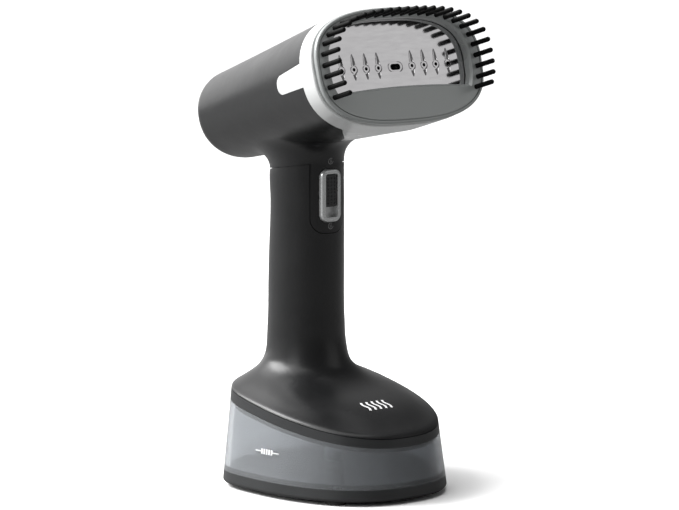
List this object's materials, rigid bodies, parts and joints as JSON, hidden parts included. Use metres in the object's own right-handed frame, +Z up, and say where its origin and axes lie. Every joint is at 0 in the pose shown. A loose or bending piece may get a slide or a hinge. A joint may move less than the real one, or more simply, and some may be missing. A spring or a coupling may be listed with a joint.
{
  "type": "handheld garment steamer",
  "caption": "Handheld garment steamer standing on its own lift-off water tank, with a slide switch and a bristle attachment round the steam plate.",
  "frame": {"origin": "on the floor under the middle of the object's outline", "axes": "+Z up along the handle, the steam face looks towards -Y, +X is the object's left as it faces the viewer"},
  "size_m": [0.1095, 0.1666, 0.2583],
  "materials": {
    "shell_dark": "satin charcoal",
    "white_gloss": "glossy white",
    "brush_grey": "satin silver grey",
    "black_plastic": "black",
    "polished_plate": "polished",
    "silver_trim": "silver",
    "clear_smoke": "clear smoky plastic",
    "band_dark": "fine texture",
    "cast_alloy": "cast",
    "steel": "bright",
    "soft_black": "soft",
    "soft_pale": "silicone",
    "board_green": "board"
  },
  "bodies": {
    "tank": {"tank_shell": "clear_smoke", "tank_rim": "band_dark", "tank_tray": "band_dark", "tray_screws": "steel", "rubber_feet": "soft_black"},
    "handle": {"handle_shell": "shell_dark", "head_shell": "shell_dark", "front_bezel": "white_gloss", "steam_plate": "polished_plate", "chamber_gasket": "soft_pale", "steam_chamber": "cast_alloy", "heating_element": "steel", "thermostat": "black_plastic", "thermal_fuse": "steel", "heat_shield": "black_plastic", "chamber_screws": "steel", "switch_bezel": "silver_trim", "microswitch": "black_plastic", "control_board": "board_green", "board_parts": "black_plastic", "pump": "black_plastic", "pump_mounts": "soft_black", "pump_elbow": "black_plastic", "inlet_hose": "soft_pale", "outlet_hose": "soft_pale", "wire_loom": "soft_black", "terminal_block": "white_gloss", "cord_gland": "soft_black", "seat_plate": "shell_dark", "seat_screws": "steel", "tank_coupling": "black_plastic", "tank_seal": "soft_black", "pickup_tube": "soft_pale", "filter_weight": "steel", "latch_spring": "steel", "latch_guide": "black_plastic"},
    "brush_attachment": {"brush_frame": "brush_grey", "bristles": "black_plastic"},
    "slide_switch": {"steam_slider": "black_plastic", "slider_carriage": "black_plastic"},
    "tank_button": {"release_button": "black_plastic"}
  },
  "joints": [
    {"name": "handle_lift", "type": "slide", "parent": "tank", "child": "handle", "axis": [0, 0, 1], "range_m": [0, 0.08]},
    {"name": "brush_slide", "type": "slide", "parent": "handle", "child": "brush_attachment", "axis": [0, -0.9613, 0.2756], "range_m": [0, 0.03]},
    {"name": "switch_slide", "type": "slide", "parent": "handle", "child": "slide_switch", "axis": [0, 0, -1], "range_m": [0, 0.005]},
    {"name": "button_press", "type": "slide", "parent": "handle", "child": "tank_button", "axis": [0, -1, 0], "range_m": [0, 0.0025], "stiffness_N_per_m": 300, "springref_m": -0.002, "deforming": ["latch_spring"]}
  ]
}
